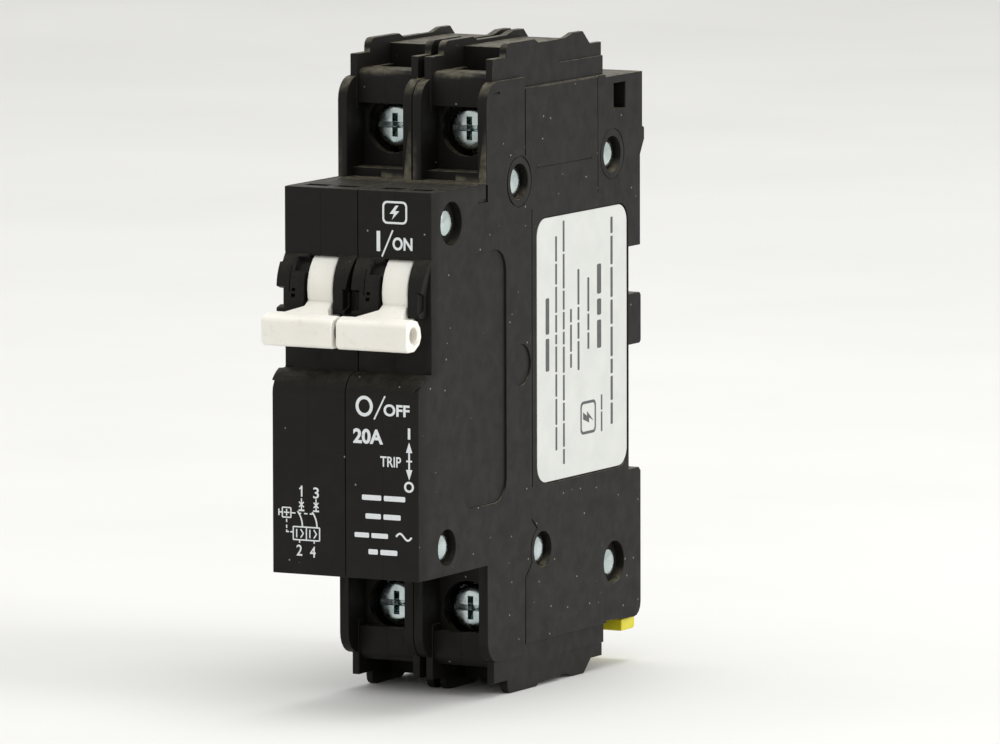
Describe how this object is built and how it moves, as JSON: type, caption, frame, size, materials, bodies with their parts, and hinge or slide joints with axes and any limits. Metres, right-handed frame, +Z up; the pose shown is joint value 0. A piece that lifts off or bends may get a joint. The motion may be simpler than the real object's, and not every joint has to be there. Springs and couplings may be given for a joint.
{
  "type": "two pole circuit breaker",
  "caption": "Black rail-mounted circuit breaker with two tied white handles, recessed front screws and stepped wire shields.",
  "frame": {"origin": "on the standing plane, at the middle of the overall width and depth", "axes": "+X to the right as seen from the handles, +Y from the handles towards the mounting rail, +Z up"},
  "size_m": [0.026, 0.0772, 0.1007],
  "materials": {
    "case_plastic": "fine matt moulded thermoset, near black",
    "handle_plastic": "smooth moulded, warm white",
    "label_film": "satin printed film",
    "latch_plastic": "moulded, yellow",
    "trip_plastic": "moulded, brick red",
    "zinc_plate": "bright zinc plated, faint blue",
    "steel": "plain bright steel",
    "brass": "rolled strip",
    "copper": "bright copper",
    "enamelled_copper": "varnished copper winding wire"
  },
  "bodies": {
    "case": {"case_left_pole_left_half": "case_plastic", "case_left_pole_right_half": "case_plastic", "case_right_pole_left_half": "case_plastic", "case_right_pole_right_half": "case_plastic", "rivet_1": "zinc_plate", "rivet_2": "zinc_plate", "rivet_3": "zinc_plate", "rivet_4": "zinc_plate", "rivet_5": "zinc_plate", "rivet_6": "zinc_plate", "rating_label": "label_film", "handle_pivot_pin_left": "steel", "handle_pivot_pin_right": "steel", "handle_spring_left": "steel", "handle_spring_right": "steel", "arm_pivot_pin_left": "steel", "arm_pivot_pin_right": "steel", "contact_spring_left": "steel", "contact_spring_right": "steel", "line_terminal_left": "brass", "line_terminal_right": "brass", "load_terminal_left": "brass", "load_terminal_right": "brass", "trip_coil_left": "enamelled_copper", "trip_coil_right": "enamelled_copper", "delay_tube_left": "brass", "delay_tube_right": "brass", "magnet_yoke_left": "steel", "magnet_yoke_right": "steel", "armature_spring_left": "steel", "armature_spring_right": "steel", "flexible_braid_left": "copper", "flexible_braid_right": "copper", "arc_chute_left": "steel", "arc_chute_right": "steel"},
    "handles": {"handle_left": "handle_plastic", "handle_right": "handle_plastic", "handle_tie_pin": "steel"},
    "trip_bar": {"trip_bar": "trip_plastic"},
    "contact_arm_left": {"contact_arm_left": "copper"},
    "toggle_link_left": {"toggle_link_left": "steel"},
    "armature_left": {"armature_left": "steel"},
    "rail_latch_left": {"rail_latch_left": "latch_plastic"},
    "line_clamp_left": {"line_clamp_left": "zinc_plate"},
    "line_screw_left": {"line_screw_left": "zinc_plate"},
    "load_clamp_left": {"load_clamp_left": "zinc_plate"},
    "load_screw_left": {"load_screw_left": "zinc_plate"},
    "contact_arm_right": {"contact_arm_right": "copper"},
    "toggle_link_right": {"toggle_link_right": "steel"},
    "armature_right": {"armature_right": "steel"},
    "rail_latch_right": {"rail_latch_right": "latch_plastic"},
    "line_clamp_right": {"line_clamp_right": "zinc_plate"},
    "line_screw_right": {"line_screw_right": "zinc_plate"},
    "load_clamp_right": {"load_clamp_right": "zinc_plate"},
    "load_screw_right": {"load_screw_right": "zinc_plate"}
  },
  "joints": [
    {"name": "handle_throw", "type": "hinge", "parent": "case", "child": "handles", "pos_m": [0, -0.02625, 0.0644], "axis": [-1, 0, 0], "range_deg": [0, 61]},
    {"name": "trip_bar_turn", "type": "hinge", "parent": "case", "child": "trip_bar", "pos_m": [0, -0.00215, 0.046], "axis": [-1, 0, 0], "range_deg": [0, 12], "stiffness_Nm_per_rad": 0.0006, "springref_deg": -14.32},
    {"name": "contact_arm_left_swing", "type": "hinge", "parent": "case", "child": "contact_arm_left", "pos_m": [-0.0065, -0.00915, 0.054], "axis": [1, 0, 0], "range_deg": [0, 25]},
    {"name": "toggle_link_left_turn", "type": "hinge", "parent": "handles", "child": "toggle_link_left", "pos_m": [-0.009, -0.02246, 0.06663], "axis": [-1, 0, 0], "range_deg": [-61, 0]},
    {"name": "armature_left_pull", "type": "hinge", "parent": "case", "child": "armature_left", "pos_m": [-0.0065, -0.00965, 0.0452], "axis": [1, 0, 0], "range_deg": [0, 7], "stiffness_Nm_per_rad": 0.002, "springref_deg": -11.46},
    {"name": "rail_latch_left_slide", "type": "slide", "parent": "case", "child": "rail_latch_left", "axis": [0, 0, -1], "range_m": [0, 0.003], "stiffness_N_per_m": 300, "springref_m": -0.003},
    {"name": "line_clamp_left_slide", "type": "slide", "parent": "case", "child": "line_clamp_left", "axis": [0, 1, 0], "range_m": [0, 0.0035]},
    {"name": "line_screw_left_turn", "type": "hinge", "parent": "line_clamp_left", "child": "line_screw_left", "pos_m": [-0.0065, -0.00515, 0.0875], "axis": [0, 1, 0], "range_deg": [0, 1800]},
    {"name": "load_clamp_left_slide", "type": "slide", "parent": "case", "child": "load_clamp_left", "axis": [0, 1, 0], "range_m": [0, 0.0035]},
    {"name": "load_screw_left_turn", "type": "hinge", "parent": "load_clamp_left", "child": "load_screw_left", "pos_m": [-0.0065, -0.00515, 0.0132], "axis": [0, 1, 0], "range_deg": [0, 1800]},
    {"name": "contact_arm_right_swing", "type": "hinge", "parent": "case", "child": "contact_arm_right", "pos_m": [0.0065, -0.00915, 0.054], "axis": [1, 0, 0], "range_deg": [0, 25]},
    {"name": "toggle_link_right_turn", "type": "hinge", "parent": "handles", "child": "toggle_link_right", "pos_m": [0.004, -0.02246, 0.06663], "axis": [-1, 0, 0], "range_deg": [-61, 0]},
    {"name": "armature_right_pull", "type": "hinge", "parent": "case", "child": "armature_right", "pos_m": [0.0065, -0.00965, 0.0452], "axis": [1, 0, 0], "range_deg": [0, 7], "stiffness_Nm_per_rad": 0.002, "springref_deg": -11.46},
    {"name": "rail_latch_right_slide", "type": "slide", "parent": "case", "child": "rail_latch_right", "axis": [0, 0, -1], "range_m": [0, 0.003], "stiffness_N_per_m": 300, "springref_m": -0.003},
    {"name": "line_clamp_right_slide", "type": "slide", "parent": "case", "child": "line_clamp_right", "axis": [0, 1, 0], "range_m": [0, 0.0035]},
    {"name": "line_screw_right_turn", "type": "hinge", "parent": "line_clamp_right", "child": "line_screw_right", "pos_m": [0.0065, -0.00515, 0.0875], "axis": [0, 1, 0], "range_deg": [0, 1800]},
    {"name": "load_clamp_right_slide", "type": "slide", "parent": "case", "child": "load_clamp_right", "axis": [0, 1, 0], "range_m": [0, 0.0035]},
    {"name": "load_screw_right_turn", "type": "hinge", "parent": "load_clamp_right", "child": "load_screw_right", "pos_m": [0.0065, -0.00515, 0.0132], "axis": [0, 1, 0], "range_deg": [0, 1800]}
  ],
  "couplings": [
    {"joint": "contact_arm_left_swing", "follows": "handle_throw", "ratio": 0.4098},
    {"joint": "toggle_link_left_turn", "follows": "handle_throw", "ratio": -1},
    {"joint": "line_screw_left_turn", "follows": "line_clamp_left_slide", "rad_per_m": 8976},
    {"joint": "load_screw_left_turn", "follows": "load_clamp_left_slide", "rad_per_m": 8976},
    {"joint": "contact_arm_right_swing", "follows": "handle_throw", "ratio": 0.4098},
    {"joint": "toggle_link_right_turn", "follows": "handle_throw", "ratio": -1},
    {"joint": "line_screw_right_turn", "follows": "line_clamp_right_slide", "rad_per_m": 8976},
    {"joint": "load_screw_right_turn", "follows": "load_clamp_right_slide", "rad_per_m": 8976}
  ]
}
